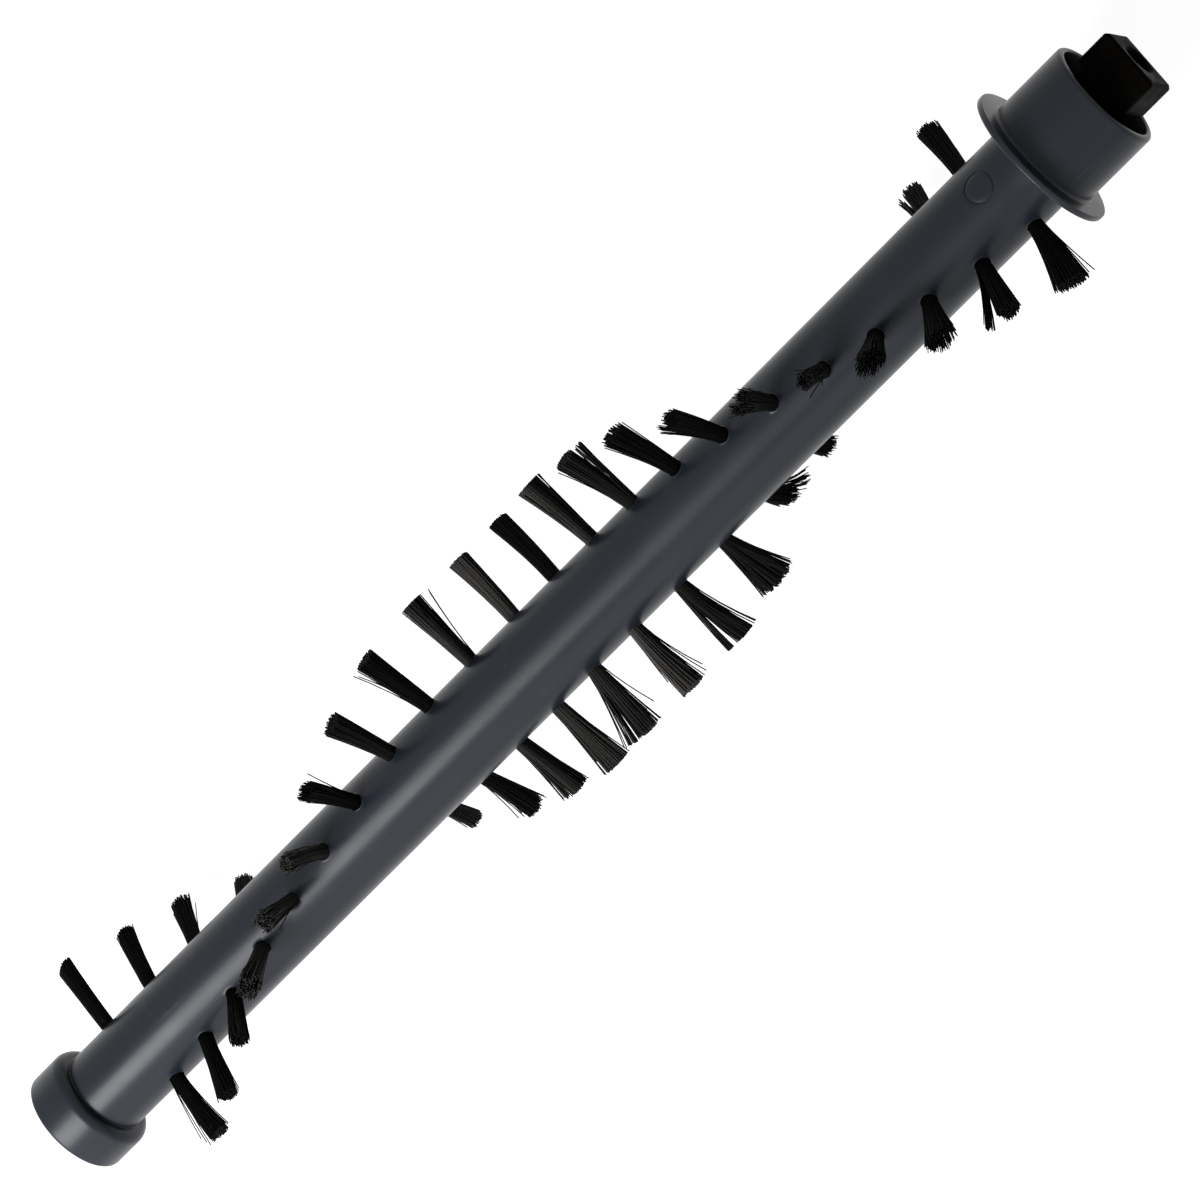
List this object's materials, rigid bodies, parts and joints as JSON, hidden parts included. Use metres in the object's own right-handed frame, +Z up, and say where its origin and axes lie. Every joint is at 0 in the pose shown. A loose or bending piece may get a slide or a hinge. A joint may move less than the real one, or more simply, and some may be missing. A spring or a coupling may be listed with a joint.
{
  "type": "vacuum roller brush",
  "caption": "Brush roller of a power nozzle: a moulded tube with rows of black tufts in a V, a cup at each end, a flange, a belt drum and a rectangular bearing block.",
  "frame": {"origin": "on the spin axis, in the middle of the bore of the left bearing, which takes the nozzle's fixed pin", "axes": "+X along the spin axis, from the left cup to the end block; +Z up from the surface that the roller lies on"},
  "size_m": [0.2676, 0.044, 0.044],
  "materials": {
    "roller_plastic": "satin, lightly scuffed",
    "bristle": "stiff filaments with a soft sheen",
    "anchor_steel": "plain",
    "block_plastic": "moulded, slightly worn",
    "bearing_steel": "ground",
    "ball_steel": "polished",
    "cage_steel": "pressed",
    "shield_steel": "pressed"
  },
  "bodies": {
    "roller": {"roller_body": "roller_plastic", "tuft_a01": "bristle", "tuft_a02": "bristle", "tuft_a03": "bristle", "tuft_a04": "bristle", "tuft_a05": "bristle", "tuft_a06": "bristle", "tuft_a07": "bristle", "tuft_a08": "bristle", "tuft_a09": "bristle", "tuft_a10": "bristle", "tuft_a11": "bristle", "tuft_a12": "bristle", "tuft_a13": "bristle", "tuft_a14": "bristle", "tuft_a15": "bristle", "tuft_a16": "bristle", "tuft_a17": "bristle", "tuft_a18": "bristle", "tuft_a19": "bristle", "tuft_a20": "bristle", "tuft_a21": "bristle", "tuft_a22": "bristle", "tuft_b01": "bristle", "tuft_b02": "bristle", "tuft_b03": "bristle", "tuft_b04": "bristle", "tuft_b05": "bristle", "tuft_b06": "bristle", "tuft_b07": "bristle", "tuft_b08": "bristle", "tuft_b09": "bristle", "tuft_b10": "bristle", "tuft_b11": "bristle", "tuft_b12": "bristle", "tuft_b13": "bristle", "tuft_b14": "bristle", "tuft_b15": "bristle", "tuft_b16": "bristle", "tuft_b17": "bristle", "tuft_b18": "bristle", "tuft_b19": "bristle", "tuft_b20": "bristle", "tuft_b21": "bristle", "tuft_b22": "bristle", "tuft_anchors": "anchor_steel", "left_outer_ring": "bearing_steel", "left_shield_1": "shield_steel", "left_shield_2": "shield_steel", "right_outer_ring": "bearing_steel", "right_shield_1": "shield_steel", "right_shield_2": "shield_steel"},
    "end_axle": {"end_block": "block_plastic", "stub_axle": "bearing_steel", "right_inner_ring": "bearing_steel"},
    "right_ball_set": {"right_balls": "ball_steel", "right_cage": "cage_steel"},
    "left_inner": {"left_inner_ring": "bearing_steel"},
    "left_ball_set": {"left_balls": "ball_steel", "left_cage": "cage_steel"}
  },
  "joints": [
    {"name": "end_block_spin", "type": "hinge", "parent": "roller", "child": "end_axle", "pos_m": [0.2416, 0, 0], "axis": [1, 0, 0], "continuous": true},
    {"name": "right_balls_orbit", "type": "hinge", "parent": "roller", "child": "right_ball_set", "pos_m": [0.2416, 0, 0], "axis": [1, 0, 0], "continuous": true},
    {"name": "left_ring_spin", "type": "hinge", "parent": "roller", "child": "left_inner", "pos_m": [0, 0, 0], "axis": [1, 0, 0], "continuous": true},
    {"name": "left_balls_orbit", "type": "hinge", "parent": "roller", "child": "left_ball_set", "pos_m": [0, 0, 0], "axis": [1, 0, 0], "continuous": true}
  ],
  "couplings": [
    {"joint": "right_balls_orbit", "follows": "end_block_spin", "ratio": 0.37778},
    {"joint": "left_balls_orbit", "follows": "left_ring_spin", "ratio": 0.37778}
  ]
}
